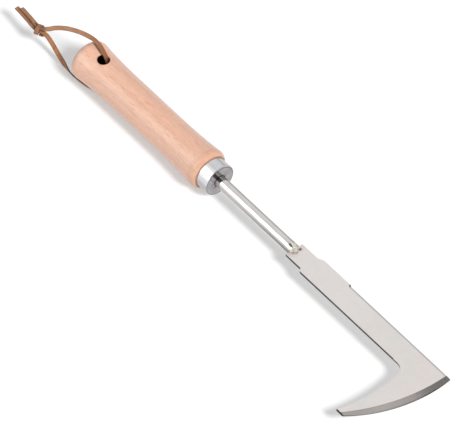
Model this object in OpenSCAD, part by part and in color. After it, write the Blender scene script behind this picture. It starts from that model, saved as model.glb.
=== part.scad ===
// Crack weeder: a turned wooden handle with a ferrule, a round shank welded to a
// flat blade, and a hook whose outer edge is ground, with a leather hanging loop.
// Millimetres. The tool lies level, with its blade along +X, its hook towards -Y
// and +Z up. The origin is under the middle of the rigid tool, at the level it rests on.

/* [Handle] */
// Length of the wooden handle, from its butt to the ferrule
handle_len = 125; // [110:1:150]
// Diameter where the handle swells, near its butt and near the ferrule
handle_end_d = 28; // [27:0.5:32]
// Diameter of the slim waist between the swellings
handle_waist_d = 25; // [23:0.5:26.5]
// Length over which the handle swells from its waist to the butt
butt_swell_len = 30; // [24:1:36]
// Length over which the handle swells from its waist to the shoulder
front_swell_len = 36; // [28:1:42]
// Radius of the rounded edge round the butt
butt_edge_r = 6; // [4:0.5:8]
// Radius of the shallow dome that closes the butt
butt_dome_r = 100; // [60:10:200]
// Radius of the rounded shoulder behind the ferrule
shoulder_r = 6; // [4.5:0.5:8]
// Flat ring of wood left between the shoulder and the ferrule
shoulder_land = 0.3; // [0.2:0.1:0.8]
// Diameter of the cross hole for the hanging loop
hang_hole_d = 8; // [7.5:0.5:10]
// Distance from the butt to the middle of the cross hole
hang_hole_setback = 19; // [16:1:26]
// Rounding of the cross hole's two mouths
hang_hole_ease = 0.8; // [0.4:0.1:1.2]

/* [Ferrule] */
// Outer diameter of the drawn ferrule
ferrule_d = 22.6; // [21:0.2:23.4]
// Length of the ferrule, from the wood to its front face
ferrule_len = 9; // [6:0.5:14]
// Thickness of the ferrule's side wall
ferrule_wall = 0.9; // [0.6:0.1:1.2]
// Thickness of the ferrule's front wall
ferrule_face_t = 1; // [0.8:0.1:1.5]
// Radius of the ferrule's front edge
ferrule_edge_r = 0.8; // [0.5:0.1:0.9]

/* [Shank] */
// Diameter of the round steel shank
shank_d = 8; // [6:0.5:9]
// Length of shank that shows, from the ferrule to the blade
shank_reach = 73; // [50:1:120]
// Depth of the shank behind the ferrule's front face
shank_depth = 46; // [30:1:70]
// Chamfer on the buried end of the shank
shank_chamfer = 1; // [0.5:0.1:1.5]
// Empty depth left in the wood past the buried end
bore_relief = 1.5; // [0.5:0.5:3]

/* [Blade] */
// Thickness of the blade's steel plate
blade_t = 1.5; // [1.2:0.1:3]
// Length of the blade, from the shank to the foremost point of its edge
blade_len = 143; // [120:1:180]
// Width of the blade
blade_w = 17.6; // [16:0.2:22]
// Width of the narrow tang at the shank
tang_w = 13.6; // [12:0.2:15]
// Length of the tang before it steps out to the blade's width
tang_len = 13.8; // [10:0.2:22]
// Length of the rounded step from tang to blade on the hook's side
hook_step_len = 3; // [2:0.2:4]
// Length of the gentler step from tang to blade on the back's side
back_step_len = 6.4; // [4:0.2:7]
// Distance from the shank to the nick where the ground back edge starts
nick_reach = 45; // [30:1:70]
// Width that grinding took off the back edge
back_cut = 0.5; // [0.3:0.1:0.8]
// Width of the fine bevel along the back edge
back_bevel_w = 1; // [0.6:0.1:1.6]
// Depth of the fine bevel along the back edge
back_bevel_depth = 0.5; // [0.3:0.1:0.8]

/* [Hook] */
// Distance that the hook's tip reaches from the tool's axis
hook_reach = 62; // [50:1:72]
// Distance from the foremost point of the edge back to the hook's inner edge
hook_w = 22.5; // [20:0.5:28]
// Radius of the curved cutting edge
edge_r = 94; // [88:1:110]
// Distance from the tool's axis to the foremost point of the edge
edge_front_offset = 3; // [0:0.5:6]
// Radius of the hook's hollow inner edge
hook_back_r = 110; // [95:1:130]
// Distance from the tool's axis to the deepest point of the inner edge
hook_back_offset = 32; // [28:1:38]
// Radius of the inner corner between the blade and the hook
throat_r = 8; // [5:0.5:12]
// Radius of the outer corner of the hook's tip
tip_r = 2; // [1:0.25:2.5]
// Width of the ground bevel at its heel
bevel_w = 4; // [3:0.1:5]
// Angle of the ground bevel to the face of the blade
bevel_angle = 15; // [10:1:16]
// Radius of the line where the bevel meets the face of the blade
grind_r = 122; // [112:1:130]
// Distance from the tool's axis to the middle of the grinding curve
grind_offset = 4; // [0:0.5:8]

/* [Weld] */
// Radius of one lump of the weld bead
weld_lump_r = 1.6; // [1.5:0.1:2]
// Greatest distance between two lumps round the end of the shank
weld_pitch = 1.8; // [1.4:0.1:2]

/* [Leather lace] */
// Width of the flat leather lace
lace_w = 3; // [2.4:0.1:3.2]
// Thickness of the flat leather lace
lace_t = 1; // [0.8:0.1:1]

/* [Hidden] */

$fn = 96;
big_fn = 720;
lump_fn = 12;
eps = 0.01;
far = 400;

end_r = handle_end_d / 2;
waist_r = handle_waist_d / 2;
ferrule_r = ferrule_d / 2;
shank_r = shank_d / 2;
hang_hole_r = hang_hole_d / 2;

// Stations along the tool's axis, counted from the ferrule's front face
wood_front_x = -ferrule_len;
butt_x = wood_front_x - handle_len;
hang_hole_x = butt_x + hang_hole_setback;
spigot_len = ferrule_len - ferrule_face_t;
spigot_r = ferrule_r - ferrule_wall;
edge_x = shank_reach + blade_len;

// Butt: an edge circle that runs tangent into a shallow dome
butt_edge_c = end_r - butt_edge_r;
butt_edge_x = butt_dome_r - sqrt(pow(butt_dome_r - butt_edge_r, 2) - pow(butt_edge_c, 2));
butt_dome_w = butt_dome_r * butt_edge_c / (butt_dome_r - butt_edge_r);

// Shoulder: a circle that ends a small land outside the ferrule
shoulder_c = end_r - shoulder_r;
shoulder_len = sqrt(pow(shoulder_r, 2) - pow(ferrule_r + shoulder_land - shoulder_c, 2));

// Swellings: large circles tangent to the waist
swell_rise = end_r - waist_r;
butt_swell_r = (pow(butt_swell_len, 2) + pow(swell_rise, 2)) / (2 * swell_rise);
front_swell_r = (pow(front_swell_len, 2) + pow(swell_rise, 2)) / (2 * swell_rise);
waist_back_x = butt_x + butt_edge_x + butt_swell_len;
waist_front_x = wood_front_x - shoulder_len - front_swell_len;
hang_hole_mouth = waist_r + butt_swell_r
    - sqrt(pow(butt_swell_r, 2) - pow(max(0, waist_back_x - hang_hole_x), 2));

// Blade: either side steps out from tang to blade in two arcs of one radius
step_rise = (blade_w - tang_w) / 2;
step_x = shank_reach + tang_len;
blade_x = step_x + max(step_rise, hook_step_len, back_step_len);
nick_x = shank_reach + nick_reach;
back_y = blade_w / 2 - back_cut;

// Centres of the cutting edge, the inner edge and the grinding cone
edge_c = [edge_x - edge_r, -edge_front_offset];
hook_back_c = [edge_x - hook_w - hook_back_r, -hook_back_offset];
grind_c = [edge_x - bevel_w - grind_r, grind_offset];

// Growth of the grinding cone's radius through the thickness of the plate
grind_spread = blade_t / tan(bevel_angle);

// Circle that rounds the throat, and the point where it meets the inner edge
throat_y = -blade_w / 2 - throat_r;
throat_c = [hook_back_c.x + sqrt(pow(hook_back_r - throat_r, 2)
                                 - pow(throat_y - hook_back_c.y, 2)), throat_y];
throat_end = hook_back_c + (throat_c - hook_back_c) * hook_back_r / (hook_back_r - throat_r);

// Circle that rounds the tip, and the point where it meets the cutting edge
tip_y = tip_r - hook_reach;
tip_c = [edge_c.x + sqrt(pow(edge_r - tip_r, 2) - pow(tip_y - edge_c.y, 2)), tip_y];
tip_end = edge_c + (tip_c - edge_c) * edge_r / (edge_r - tip_r);

// Weld: how far the ring of lumps stays inside the shank's side, and how far each
// lump lies past the one before; and the lumps that run down from the shank's top
// onto the tang, each as its reach past the shank's end, its place across and its
// height over the axis
weld_inset = 0.15;
weld_stagger = 0.15;
weld_lumps = ceil(2 * PI * shank_r / weld_pitch);
weld_run = [[-3.2, 1.2, shank_r - 1.15], [-1.9, 0.9, shank_r - 1], [-0.6, 0.6, shank_r - 0.9],
            [0.7, 0.2, 0.62 * shank_r], [1.8, -0.2, 0.36 * shank_r]];

// Place of the tool's axis in the part's own frame
axis_place = [-(butt_x + edge_x) / 2, (hook_reach - end_r) / 2, end_r];

// Lace: each row holds a point, counted from the middle of the cross hole, and
// the way in which the lace's width lies there
bore_route = [
    [1.2, 2.2, 9.5, 0.3, -1, 0],
    [1.8, 2.1, 5, 0.5, -0.9, 0],
    [2, 2, 0, 0.7, -0.7, 0],
    [1.6, 1.6, -5, 0.8, -0.6, 0],
    [1.4, 1.1, -8.5, 0.9, -0.5, 0]];
upper_route = [
    [1.2, 2.2, 9.5, 0.3, -1, 0],
    [-0.6, 2.4, 12.8, 0.1, -1, 0],
    [-3.6, 2.8, 14.8, 0, -1, 0],
    [-7.8, 3.7, 15.8, 0, -1, 0],
    [-13.4, 4.2, 15.9, 0, -1, 0.1],
    [-20.6, 3.4, 15, 0.2, -0.9, -0.4],
    [-29.8, 1.6, 12.6, 0.4, -0.7, -0.6],
    [-38.6, -1.2, 9.2, 0.5, -0.6, -0.6],
    [-44, -4.1, 6.6, 0.5, -0.6, -0.6],
    [-47.6, -6.8, 4.3, 0.4, -0.8, -0.4],
    [-50.4, -8.5, 3.1, 0.1, -1, -0.1],
    [-53, -9.3, 2.6, 0, -1, 0.1],
    [-56.5, -9.1, 2.7, 0, -1, 0.2],
    [-61, -8.6, 2.9, 0, -1, 0.3],
    [-67, -8, 2.8, 0, -1, 0.3],
    [-72.6, -7.5, 2.5, 0, -1, 0.2]];
lower_route = [
    [1.4, 1.1, -8.5, 0.9, -0.5, 0],
    [1.3, -0.3, -11.3, 0.9, -0.5, 0],
    [1.1, -1.8, -12.7, 0.9, -0.5, 0],
    [0.5, -3.8, -13.3, 0.9, -0.5, 0],
    [-1.4, -6.2, -12.9, 0.7, -0.7, 0.4],
    [-4.8, -8.2, -12.5, 0.2, -0.5, 0.8],
    [-9.4, -9.2, -12.3, 0.1, -0.5, 0.9],
    [-15.4, -9.8, -12.1, 0.1, -0.5, 0.9],
    [-21, -10, -11.6, 0.1, -0.4, 0.9],
    [-25, -9.6, -10.9, 0, 0, 1],
    [-28.6, -9.2, -10, 0, 0.6, 0.8],
    [-32.6, -8.7, -8.6, 0, 0.8, 0.5],
    [-38, -8.1, -6, 0, 0.9, 0.4],
    [-43, -7.8, -3, 0, 1, 0.2],
    [-47.2, -8.2, -0.3, 0, 1, 0.1],
    [-50.4, -9.3, 0.9, 0, 1, 0],
    [-53, -10.4, 1.2, 0, 1, 0],
    [-56.8, -10.8, 1.4, 0, 1, 0],
    [-62, -10.3, 1.6, 0, 1, 0],
    [-69, -9.6, 1.6, 0, 1, 0.1],
    [-75.9, -9, 1.3, 0, 1, 0.1]];

// Knot: a band of the same lace wound round the two strands, turned towards the loop
knot_c = [-52.4, -10, 1.8];
knot_heading = 26;
knot_half_y = 3.2;
knot_half_z = 3;
knot_turn = 560;
knot_pitch = 3.6;
knot_start = 200;
knot_step = 28;
knot_core_w = 5.6;
knot_core_t = 4.9;
knot_core_half = 3.4;

// Core of the knot: each row holds a share of its half length and of its section
knot_core_rings = [[-1, 0.9], [-0.6, 1.04], [0.6, 1.04], [1, 0.9]];

// Cut corners of the lace's flat section
lace_corner = 0.3;

function unit(v) = v / norm(v);
function place_of(row) = [row[0], row[1], row[2]];
function width_of(row) = [row[3], row[4], row[5]];

// Direction of a route at one of its rows
function heading(route, i) =
    unit(place_of(route[min(i + 1, len(route) - 1)]) - place_of(route[max(i - 1, 0)]));

// Eight corners of a flat section, across and through the lace
function flat_section(w, t) =
    let (x = w / 2, y = t / 2, c = lace_corner)
    [[x, y - c], [x - c, y], [c - x, y], [-x, y - c], [-x, c - y], [c - x, -y], [x - c, -y], [x, c - y]];

// One ring of a swept lace, at a point that heads along t with its width along w
function ring(p, t, w, section) =
    let (side = unit(w - (w * t) * t), flat = cross(t, side))
    [for (c = section) p + c.x * side + c.y * flat];

// Closed tube through rings of equal length
module tube(rings) {
    n = len(rings[0]);
    last = (len(rings) - 1) * n;
    sides = [for (i = [0:len(rings) - 2], k = [0:n - 1])
        let (a = i * n + k, b = i * n + (k + 1) % n)
        each [[a, a + n, b], [b, a + n, b + n]]];
    caps = [for (k = [1:n - 2]) each [[0, k, k + 1], [last, last + k + 1, last + k]]];
    polyhedron([for (r = rings) each r], concat(sides, caps), 10);
}

// Lace along a route, with a ring at each of its rows; the last row of one
// stretch is the first row of the next, so they share the heading given there
module lace(route, first_heading = undef) {
    tube([for (i = [0:len(route) - 1])
        ring(place_of(route[i]),
             i == 0 && !is_undef(first_heading) ? first_heading : heading(route, i),
             width_of(route[i]), flat_section(lace_w, lace_t))]);
}

// Puts what is drawn round the tool's axis into the part's frame
module on_axis() translate(axis_place) children();

// Turns what was revolved about Z so that it lies along the tool's axis
module revolved() on_axis() rotate([0, 90, 0]) rotate_extrude() children();

// Half section of the turned blank, its radius across and the tool's axis upwards
module handle_half() {
    difference() {
        union() {
            translate([0, butt_x + butt_edge_x])
                square([end_r, handle_len - butt_edge_x - shoulder_len]);
            translate([butt_edge_c, butt_x + butt_edge_x]) intersection() {
                circle(butt_edge_r);
                translate([-butt_edge_c, -butt_edge_x]) square([end_r, butt_edge_x + eps]);
            }
            intersection() {
                translate([0, butt_x + butt_dome_r]) circle(butt_dome_r, $fn = big_fn);
                translate([0, butt_x]) square([butt_dome_w, butt_edge_x + eps]);
            }
            translate([0, wood_front_x - shoulder_len - eps]) intersection() {
                square([end_r, shoulder_len + eps]);
                union() {
                    square([shoulder_c, shoulder_len + eps]);
                    translate([shoulder_c, eps]) circle(shoulder_r);
                }
            }
        }
        translate([waist_r, waist_back_x]) square([end_r, waist_front_x - waist_back_x]);
        intersection() {
            translate([waist_r + butt_swell_r, waist_back_x]) circle(butt_swell_r, $fn = big_fn);
            translate([0, butt_x]) square([end_r + eps, waist_back_x - butt_x + eps]);
        }
        intersection() {
            translate([waist_r + front_swell_r, waist_front_x]) circle(front_swell_r, $fn = big_fn);
            translate([0, waist_front_x - eps])
                square([end_r + eps, wood_front_x - waist_front_x]);
        }
    }
    translate([0, wood_front_x - eps]) square([spigot_r, spigot_len + eps]);
}

// Cross hole with both mouths rounded, about its own axis
module cross_hole() {
    cylinder(h = 2 * end_r + 2, r = hang_hole_r, center = true);
    for (side = [0, 1]) mirror([0, 0, side]) rotate_extrude() difference() {
        translate([0, hang_hole_mouth - hang_hole_ease])
            square([hang_hole_r + hang_hole_ease, end_r]);
        translate([hang_hole_r + hang_hole_ease, hang_hole_mouth - hang_hole_ease])
            circle(hang_hole_ease);
    }
}

// Turned beech handle with its spigot, shank bore and cross hole
module handle() color([0.93, 0.76, 0.62]) difference() {
    revolved() handle_half();
    on_axis() translate([-shank_depth - bore_relief, 0, 0]) rotate([0, 90, 0])
        cylinder(h = shank_depth + bore_relief, r = shank_r);
    on_axis() translate([hang_hole_x, 0, 0]) cross_hole();
}

// Drawn cup that is pressed over the spigot
module ferrule() color([0.86, 0.87, 0.88]) revolved() difference() {
    union() {
        translate([0, wood_front_x]) square([ferrule_r, ferrule_len - ferrule_edge_r]);
        translate([0, -ferrule_edge_r - eps])
            square([ferrule_r - ferrule_edge_r, ferrule_edge_r + eps]);
        translate([ferrule_r - ferrule_edge_r, -ferrule_edge_r]) circle(ferrule_edge_r);
    }
    translate([0, wood_front_x - eps]) square([spigot_r, spigot_len + eps]);
    translate([0, -far / 2]) square([shank_r, far]);
}

// Round rod, from the bottom of its bore to the blade
module shank() color([0.8, 0.8, 0.81]) revolved() {
    translate([0, -shank_depth]) polygon([
        [0, 0], [shank_r - shank_chamfer, 0], [shank_r, shank_chamfer],
        [shank_r, shank_depth + shank_reach], [0, shank_depth + shank_reach]]);
}

// Step out from the tang's width to the blade's, on the +Y side
module tang_step(step_len) {
    half = max(step_rise, step_len) / 2;
    r = (pow(half, 2) + pow(step_rise / 2, 2)) / step_rise;
    difference() {
        translate([step_x, 0]) square([half, (tang_w + step_rise) / 2]);
        translate([step_x, tang_w / 2 + r]) circle(r);
    }
    intersection() {
        translate([step_x + half, 0]) square([half, blade_w / 2]);
        translate([step_x + 2 * half, blade_w / 2 - r]) circle(r);
    }
    translate([step_x + half, 0]) square([half, (tang_w + step_rise) / 2]);
    translate([step_x + 2 * half, 0])
        square([blade_x - step_x - 2 * half + eps, blade_w / 2]);
}

// Open space inside the hook, with its rounded corner
module throat() {
    intersection() {
        translate(hook_back_c) circle(hook_back_r, $fn = big_fn);
        translate([-far / 2, throat_end.y - far]) square([far, far]);
    }
    translate([blade_x - far, throat_end.y - eps])
        square([throat_c.x - blade_x + far, -blade_w / 2 - throat_end.y + eps]);
    translate(throat_c) circle(throat_r);
}

// Flat outline of the blade with its hook
module blade_outline() {
    translate([shank_reach, -tang_w / 2]) square([blade_x - shank_reach + eps, tang_w]);
    tang_step(back_step_len);
    mirror([0, 1]) tang_step(hook_step_len);
    difference() {
        intersection() {
            translate(edge_c) circle(edge_r, $fn = big_fn);
            translate([blade_x, -hook_reach]) square([blade_len, hook_reach + blade_w / 2]);
        }
        throat();
        translate([nick_x, back_y]) square([blade_len, blade_w]);
        polygon([tip_c, [tip_c.x, -hook_reach - 1], [tip_end.x + 1, -hook_reach - 1],
                 [tip_end.x + 1, tip_end.y], tip_end]);
    }
    translate(tip_c) circle(tip_r);
}

// Plate steel blade, ground along the hook's outer edge and along its back; the
// grinding cone stands half a plate's thickness past either face
module blade() color([0.84, 0.83, 0.82]) on_axis() difference() {
    intersection() {
        translate([0, 0, -blade_t / 2]) linear_extrude(blade_t) blade_outline();
        translate([grind_c.x, grind_c.y, -blade_t])
            cylinder(h = 2 * blade_t,
                     r1 = grind_r + 1.5 * grind_spread,
                     r2 = grind_r - 0.5 * grind_spread, $fn = big_fn);
    }
    translate([nick_x, 0, 0]) rotate([90, 0, 90]) linear_extrude(blade_len) polygon([
        [back_y - back_bevel_w, blade_t / 2], [back_y + eps, blade_t / 2 - back_bevel_depth],
        [back_y + 1, blade_t / 2 - back_bevel_depth], [back_y + 1, blade_t / 2 + 1],
        [back_y - back_bevel_w, blade_t / 2 + 1]]);
}

// Lumpy bead over the end of the shank and onto the tang's upper face; the tang's
// lower face is left flat
module weld_bead() color([0.86, 0.82, 0.72]) on_axis() difference() {
    union() {
        for (i = [0:weld_lumps - 1])
            rotate([i * 360 / weld_lumps, 0, 0])
                translate([shank_reach + weld_stagger * (i % 3), 0,
                           shank_r - weld_inset - weld_lump_r])
                    sphere(weld_lump_r, $fn = lump_fn);
        for (row = weld_run)
            translate([shank_reach + row[0], row[1], row[2]])
                sphere(weld_lump_r, $fn = lump_fn);
    }
    rotate([0, 90, 0]) cylinder(h = shank_reach, r = shank_r);
    translate([0, 0, -blade_t / 2]) linear_extrude(blade_t) blade_outline();
    translate([shank_reach, -far / 2, -far - blade_t / 2]) cube(far);
}

// Puts what is drawn round the cross hole's middle into the part's frame
module at_hole() on_axis() translate([hang_hole_x, 0, 0]) children();

// Strand from the upper mouth, through the knot, to its cut end
module lace_upper() color([0.69, 0.47, 0.31]) at_hole()
    lace(upper_route, -heading(bore_route, 0));

// Stretch of lace inside the cross hole
module lace_bore() color([0.62, 0.41, 0.27]) at_hole() lace(bore_route);

// Strand from the lower mouth, through the knot, to its cut end
module lace_lower() color([0.66, 0.45, 0.3]) at_hole()
    lace(lower_route, heading(bore_route, len(bore_route) - 1));

// Wound band of the knot about its own axis, one ring for each step of its turns
module knot_band() {
    tube([for (a = [0:knot_step:knot_turn])
        let (angle = knot_start + a,
             p = [knot_pitch * (0.5 * knot_turn - a) / 360,
                  knot_half_y * cos(angle), knot_half_z * sin(angle)],
             t = unit([-knot_pitch / 2 / PI, -knot_half_y * sin(angle), knot_half_z * cos(angle)]))
        ring(p, t, [1, 0, 0], flat_section(lace_w, lace_t))]);
}

// Overhand knot, closed round both strands
module lace_knot() color([0.6, 0.39, 0.25]) at_hole() difference() {
    translate(knot_c) rotate(knot_heading) {
        knot_band();
        tube([for (row = knot_core_rings)
            ring([row[0] * knot_core_half, 0, 0], [1, 0, 0], [0, 1, 0],
                 flat_section(row[1] * knot_core_w, row[1] * knot_core_t))]);
    }
    lace(upper_route);
    lace(lower_route);
}

handle();
ferrule();
shank();
blade();
weld_bead();
lace_upper();
lace_bore();
lace_lower();
lace_knot();
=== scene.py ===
"""Studio scene of a crack weeder: beech handle, ferrule, steel shank, hooked blade, leather loop.

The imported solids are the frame. The wood, the plating and the steel are finishes on
them; the leather lace, its knot and the weld are modelled here around their solids.
Lengths are in metres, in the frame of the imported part, unless a comment says otherwise.
"""

import functools
import logging
import math
from dataclasses import dataclass, field
from enum import Enum
from typing import Any, Sequence

import bmesh
import bpy
from mathutils import Matrix, Vector, noise


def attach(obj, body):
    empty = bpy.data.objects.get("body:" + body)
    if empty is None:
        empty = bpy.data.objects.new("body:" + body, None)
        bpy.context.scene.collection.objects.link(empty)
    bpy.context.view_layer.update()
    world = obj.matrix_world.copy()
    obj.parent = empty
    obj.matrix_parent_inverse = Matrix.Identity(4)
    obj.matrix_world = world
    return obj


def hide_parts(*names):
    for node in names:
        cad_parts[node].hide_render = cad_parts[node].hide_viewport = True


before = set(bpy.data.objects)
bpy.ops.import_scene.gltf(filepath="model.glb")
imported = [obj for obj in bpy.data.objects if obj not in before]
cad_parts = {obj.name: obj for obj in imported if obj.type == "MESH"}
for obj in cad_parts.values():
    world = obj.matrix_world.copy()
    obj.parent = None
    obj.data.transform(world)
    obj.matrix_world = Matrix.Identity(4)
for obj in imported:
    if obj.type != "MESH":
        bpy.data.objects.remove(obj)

LOG = logging.getLogger("crack_weeder")
MM = 0.001
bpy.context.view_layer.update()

Row = tuple[float, float, float, float, float, float]
Rgb = tuple[float, float, float]
Span = tuple[float, float]
Inputs = dict[Any, Any] | None
Piece = bpy.types.Object
Socket = bpy.types.NodeSocket
Route = tuple[list[Vector], list[Vector]]

WHITE = (1.0, 1.0, 1.0, 1.0)
AXIS_Y = 0.024
AXIS_Z = 0.014


class Station(Enum):
    """Places along the tool's axis, as x in the frame."""

    BUTT = -0.175
    CROSS_HOLE = -0.156
    WOOD_FRONT = -0.050
    FERRULE_FACE = -0.041
    SHANK_END = 0.032
    NICK = 0.077

    def span(self, start: float, full: float) -> Span:
        """Two places beside the station, for a soft step."""
        return self.value + start, self.value + full

    def point(self) -> Vector:
        """The station's place on the axis."""
        return Vector((self.value, AXIS_Y, AXIS_Z))


# ---------------- shader maths


@dataclass(frozen=True)
class Val:
    """A number, colour or vector inside a material, on which Python's operators add Math nodes."""

    bench: "Bench"
    socket: Socket

    def __add__(self, other: "Val | float") -> "Val":
        """Sum."""
        return self.bench.maths("ADD", self, other)

    __radd__ = __add__

    def __mul__(self, other: "Val | float") -> "Val":
        """Product."""
        return self.bench.maths("MULTIPLY", self, other)

    __rmul__ = __mul__

    def __sub__(self, other: "Val | float") -> "Val":
        """Difference."""
        return self.bench.maths("SUBTRACT", self, other)

    def __rsub__(self, other: float) -> "Val":
        """Difference from a plain number."""
        return self.bench.maths("SUBTRACT", other, self)

    def __truediv__(self, other: "Val | float") -> "Val":
        """Quotient."""
        return self.bench.maths("DIVIDE", self, other)

    def __pow__(self, power: float) -> "Val":
        """Power."""
        return self.bench.maths("POWER", self, power)

    def __abs__(self) -> "Val":
        """Size without its sign."""
        return self.bench.maths("ABSOLUTE", self)

    def root(self) -> "Val":
        """Square root."""
        return self.bench.maths("SQRT", self)

    def fraction(self) -> "Val":
        """Part after the decimal point."""
        return self.bench.maths("FRACT", self)

    def sine(self) -> "Val":
        """Sine."""
        return self.bench.maths("SINE", self)

    def bearing(self, other: "Val") -> "Val":
        """Angle whose tangent is this value over another."""
        return self.bench.maths("ARCTAN2", self, other)

    def most(self, other: "Val") -> "Val":
        """The greater of two values."""
        return self.bench.maths("MAXIMUM", self, other)

    def rise(self, low: float, high: float) -> "Val":
        """Soft step.

        Args:
            low: value at which the step starts.
            high: value at which it is complete; below low, the step falls.

        Returns:
            0 before the step and 1 after it.
        """
        first, last = (0.0, 1.0) if low <= high else (1.0, 0.0)
        steps = {0: self, 1: min(low, high), 2: max(low, high), 3: first, 4: last}
        made = self.bench.node("ShaderNodeMapRange", {"interpolation_type": "SMOOTHSTEP"}, steps)
        return Val(self.bench, made.outputs[0])


Place = tuple[Val, Val, Val]


@dataclass(frozen=True)
class Layer:
    """A colour laid over a surface where a value lies past one soft step and before a second."""

    colour: Rgb
    share: float
    start: Span
    stop: Span | None = None

    def where(self, value: Val) -> Val:
        """How much of the layer shows."""
        mask = value.rise(*self.start)
        return (mask * value.rise(*self.stop) if self.stop else mask) * self.share


MIX = {"data_type": "RGBA", "clamp_factor": True}


def rgba(colour: "Val | Rgb") -> "Val | tuple[float, ...]":
    """A colour as a node's socket takes it."""
    return colour if isinstance(colour, Val) else (*colour, 1.0)


@dataclass
class Bench:
    """Builds the nodes of one material or world."""

    tree: bpy.types.NodeTree

    def node(self, kind: str, settings: Inputs = None, sockets: Inputs = None) -> bpy.types.Node:
        """Adds a node.

        Args:
            kind: the node's type.
            settings: its own settings, set first.
            sockets: values or links of its input sockets, by name or number.

        Returns:
            The new node.
        """
        made = self.tree.nodes.new(kind)
        for name, value in (settings or {}).items():
            setattr(made, name, value)
        for name, value in (sockets or {}).items():
            if isinstance(value, Val):
                self.tree.links.new(value.socket, made.inputs[name])
            elif isinstance(value, Socket):
                self.tree.links.new(value, made.inputs[name])
            else:
                made.inputs[name].default_value = value
        return made

    def maths(self, operation: str, *values: "Val | float") -> Val:
        """Adds a Math node on one or two values."""
        made = self.node("ShaderNodeMath", {"operation": operation}, dict(enumerate(values)))
        return Val(self, made.outputs[0])

    def parts(self, vector: Socket) -> Place:
        """The three numbers of a vector."""
        outputs = self.node("ShaderNodeSeparateXYZ", None, {0: vector}).outputs
        return Val(self, outputs[0]), Val(self, outputs[1]), Val(self, outputs[2])

    def place(self) -> Place:
        """The surface's place in the frame, as x, y and z."""
        return self.parts(self.node("ShaderNodeTexCoord").outputs["Object"])

    def along(self, layer: str) -> tuple[Val, Val]:
        """The surface's own map: how far along the strip, and how far round it."""
        return self.parts(self.node("ShaderNodeUVMap", {"uv_map": layer}).outputs["UV"])[:2]

    def vector(self, x: "Val | float", y: "Val | float", z: "Val | float" = 0.0) -> Val:
        """A vector from three numbers."""
        return Val(self, self.node("ShaderNodeCombineXYZ", None, {0: x, 1: y, 2: z}).outputs[0])

    def cloud(self, where: Val, scale: float = 1.0, detail: float = 2.0, rough: float = 0.5) -> Val:
        """Soft noise, about 0.5 on average, with so many features for each unit of the vector."""
        read = {"Vector": where, "Scale": scale, "Detail": detail, "Roughness": rough}
        return Val(self, self.node("ShaderNodeTexNoise", None, read).outputs[0])

    def grain(self, at: Place, along: float, across: float, fine: float, rough: float = 0.5) -> Val:
        """Noise with so many features for each metre along the tool and across it."""
        drawn = self.vector(at[0] * along, at[1] * across, at[2] * across)
        return self.cloud(drawn, detail=fine, rough=rough)

    def blend(self, share: "Val | float", first: "Val | Rgb", second: "Val | Rgb") -> Val:
        """Mixes two colours by the share of the second, from 0 to 1."""
        made = self.node("ShaderNodeMix", MIX, {0: share, 6: rgba(first), 7: rgba(second)})
        return Val(self, made.outputs[2])

    def lay(self, value: Val, colour: Val, layers: Sequence[Layer]) -> Val:
        """Lays colours over a surface, one after another.

        Args:
            value: what the layers' steps are read from.
            colour: the surface's colour so far.
            layers: the colours and their steps, from the lowest to the topmost.

        Returns:
            The new colour.
        """
        for layer in layers:
            colour = self.blend(layer.where(value), colour, layer.colour)
        return colour

    def bump(self, height: Val, depth: float) -> Val:
        """The normal of a surface with a relief from 0 to 1 that is so many metres deep."""
        made = self.node("ShaderNodeBump", None, {"Height": height, "Distance": depth})
        return Val(self, made.outputs[0])

    def rays(self, *kinds: str) -> Val:
        """1 for rays of some kinds, such as Camera, and 0 for all others."""
        path = self.node("ShaderNodeLightPath").outputs
        return functools.reduce(Val.most, (Val(self, path[f"Is {kind} Ray"]) for kind in kinds))


def apart(first: Val, second: Val, point: Span) -> Val:
    """Distance of two coordinates of the surface from a point."""
    return ((first - point[0]) ** 2.0 + (second - point[1]) ** 2.0).root()


def lean(y: Val, z: Val) -> Val:
    """How far the surface lies toward the hook's side and the table, square to the axis."""
    return (y - AXIS_Y) * -0.883 + (z - AXIS_Z) * -0.469


# ---------------- finishes


@dataclass(frozen=True)
class Finish:
    """A surface finish, made as one material."""

    name: str

    def material(self) -> bpy.types.Material:
        """Builds the material.

        Returns:
            The new material.
        """
        made = bpy.data.materials.new(self.name)
        made.use_nodes = True
        made.node_tree.nodes.clear()
        bench = Bench(made.node_tree)
        bench.node("ShaderNodeOutputMaterial", None, {"Surface": self.shader(bench)})
        return made

    def shader(self, bench: Bench) -> Socket:
        """The shader: a Principled one with this finish's sockets."""
        return bench.node("ShaderNodeBsdfPrincipled", None, self.sockets(bench)).outputs[0]

    def sockets(self, bench: Bench) -> dict[str, Any]:
        """What the Principled shader's sockets are given."""
        raise NotImplementedError


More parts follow.
